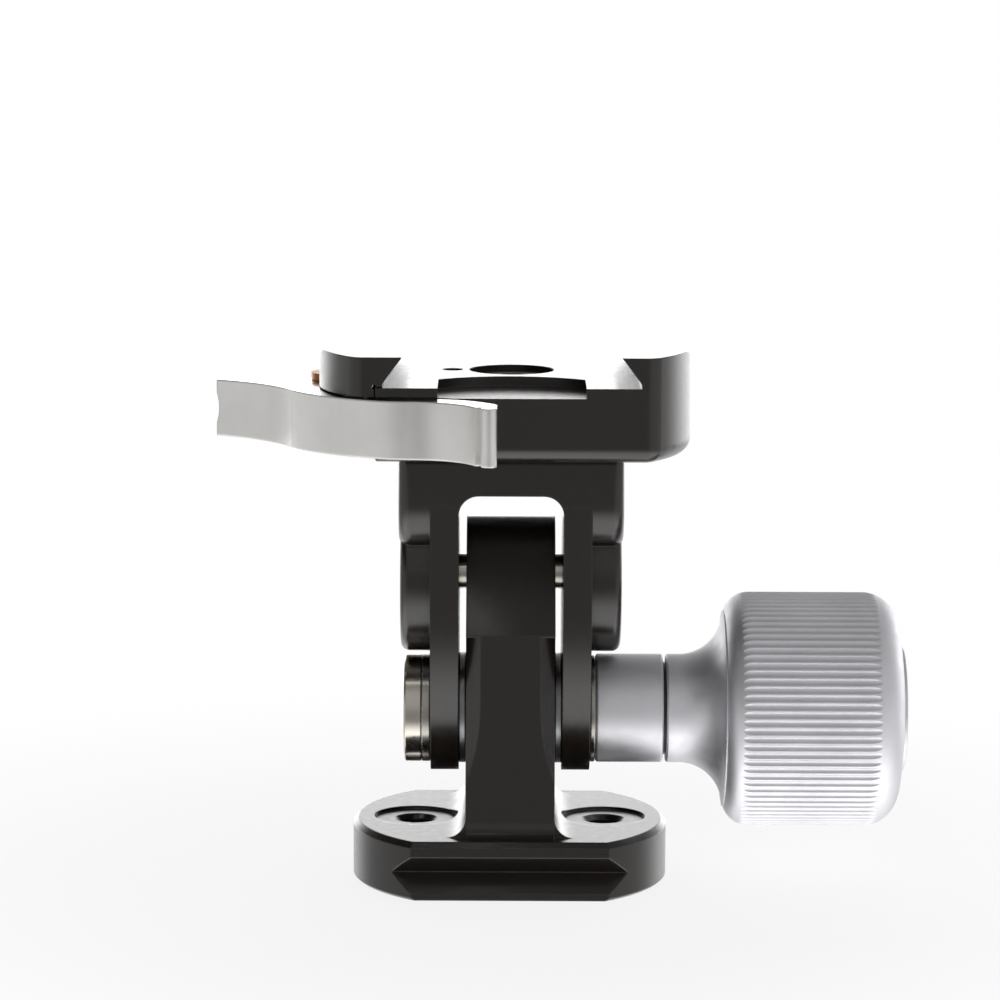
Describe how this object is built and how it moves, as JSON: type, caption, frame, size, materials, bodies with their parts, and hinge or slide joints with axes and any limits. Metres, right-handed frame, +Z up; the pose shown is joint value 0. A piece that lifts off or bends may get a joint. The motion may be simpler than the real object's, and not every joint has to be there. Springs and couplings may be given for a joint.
{
  "type": "monopod tilt head",
  "caption": "Tilt head for a monopod: a stem on a dovetail base, a yoke with a lever-operated dovetail clamp, a tilt pin and a fluted lock knob.",
  "frame": {"origin": "centre of the threaded socket's mouth, in the plane of the base's underside", "axes": "+Z up, +X along the tilt axis and the lock bolt towards the knob, -Y the side with the clamp lever's arm"},
  "size_m": [0.1056, 0.0597, 0.083],
  "materials": {
    "black_anodised": "bead-blasted, black anodised",
    "silver_anodised": "bead-blasted, clear anodised",
    "silver_lever": "machined, clear anodised",
    "polished_steel": "polished",
    "steel": "ground",
    "spring_steel": "drawn wire",
    "black_steel": "black oxide",
    "washer_bronze": "turned",
    "bronze": "sintered",
    "brass": "turned",
    "friction": "dull",
    "nylon": "plain"
  },
  "bodies": {
    "base": {"base_stem": "black_anodised", "thread_insert": "steel", "tilt_bushes": "bronze"},
    "yoke": {"yoke": "black_anodised", "tilt_pin": "polished_steel", "friction_discs": "friction", "lock_bolt": "polished_steel", "bolt_key": "steel", "left_washer": "washer_bronze", "right_washer": "washer_bronze", "stop_washer": "steel", "stop_screw": "black_steel", "clamp_body": "black_anodised", "clamp_screw": "black_steel", "alignment_dowels": "steel", "draw_bar": "steel", "lever_pin": "steel", "lever_bush": "bronze", "pin_clip": "black_steel"},
    "collar": {"lock_collar": "silver_anodised", "thrust_washer": "nylon"},
    "knob": {"knob": "silver_anodised", "knob_insert": "brass", "knob_cap": "silver_anodised"},
    "jaw": {"moving_jaw": "black_anodised", "guide_pins": "steel", "jaw_springs": "spring_steel"},
    "lever": {"clamp_lever": "silver_lever"}
  },
  "joints": [
    {"name": "tilt", "type": "hinge", "parent": "base", "child": "yoke", "pos_m": [0, 0, 0.0473], "axis": [1, 0, 0], "range_deg": [-25, 25]},
    {"name": "collar_slide", "type": "slide", "parent": "yoke", "child": "collar", "axis": [1, 0, 0], "range_m": [0, 0.00125]},
    {"name": "knob_turn", "type": "hinge", "parent": "collar", "child": "knob", "pos_m": [0.04, 0, 0.026], "axis": [1, 0, 0], "range_deg": [0, 360]},
    {"name": "lever_turn", "type": "hinge", "parent": "yoke", "child": "lever", "pos_m": [-0.0262, 0, 0.0726], "axis": [0, 0, -1], "range_deg": [0, 90]},
    {"name": "jaw_slide", "type": "slide", "parent": "yoke", "child": "jaw", "axis": [-1, 0, 0], "range_m": [0, 0.0015], "deforming": ["jaw_springs"]}
  ],
  "couplings": [
    {"joint": "collar_slide", "follows": "knob_turn", "m_per_rad": 0.000198},
    {"joint": "jaw_slide", "follows": "lever_turn", "m_per_rad": 0.000954}
  ]
}
